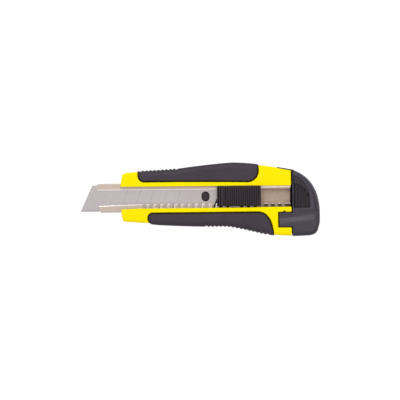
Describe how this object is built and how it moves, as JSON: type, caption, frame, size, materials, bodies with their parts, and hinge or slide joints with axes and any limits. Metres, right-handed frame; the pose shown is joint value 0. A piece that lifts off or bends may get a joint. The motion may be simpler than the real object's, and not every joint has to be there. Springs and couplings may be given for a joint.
{
  "type": "snap off knife",
  "caption": "Snap-off utility knife with a two-part handle, ribbed soft grips, a folded steel blade rail, a ratcheting thumb slider and a pull-off end cap.",
  "frame": {"origin": "under the middle of the knife, on the surface that it lies on", "axes": "+X from the blade tip to the end cap, +Y to the spine, +Z out of the face with the slider window"},
  "size_m": [0.1636, 0.0509, 0.0174],
  "materials": {
    "housing_plastic": "satin",
    "grip_rubber": "matte",
    "rail_steel": "satin",
    "screw_steel": "satin",
    "blade_steel": "satin",
    "spring_steel": "satin",
    "slider_plastic": "matte",
    "cap_plastic": "satin",
    "pad_rubber": "matte"
  },
  "bodies": {
    "handle": {"body_frame": "housing_plastic", "back_cover": "housing_plastic", "upper_grip_front": "grip_rubber", "lower_grip_front": "grip_rubber", "upper_grip_back": "grip_rubber", "lower_grip_back": "grip_rubber", "blade_rail": "rail_steel", "case_screws": "screw_steel", "spare_blade_1": "blade_steel", "spare_blade_2": "blade_steel", "spare_blade_3": "blade_steel", "magazine_spring": "spring_steel"},
    "slider": {"blade_carrier": "slider_plastic", "blade": "blade_steel", "lock_spring": "spring_steel", "return_springs": "spring_steel"},
    "button": {"thumb_button": "slider_plastic", "button_rivets": "screw_steel"},
    "cap": {"end_cap": "cap_plastic", "cap_pad": "pad_rubber"}
  },
  "joints": [
    {"name": "blade_slide", "type": "slide", "parent": "handle", "child": "slider", "axis": [-1, 0, 0], "range_m": [-0.01896, 0.05688], "deforming": ["lock_spring"]},
    {"name": "button_shift", "type": "slide", "parent": "slider", "child": "button", "axis": [-1, 0, 0], "range_m": [-0.0008, 0.0008], "stiffness_N_per_m": 1500, "deforming": ["return_springs"]},
    {"name": "cap_pull", "type": "slide", "parent": "handle", "child": "cap", "axis": [1, 0, 0], "range_m": [0, 0.022]}
  ]
}
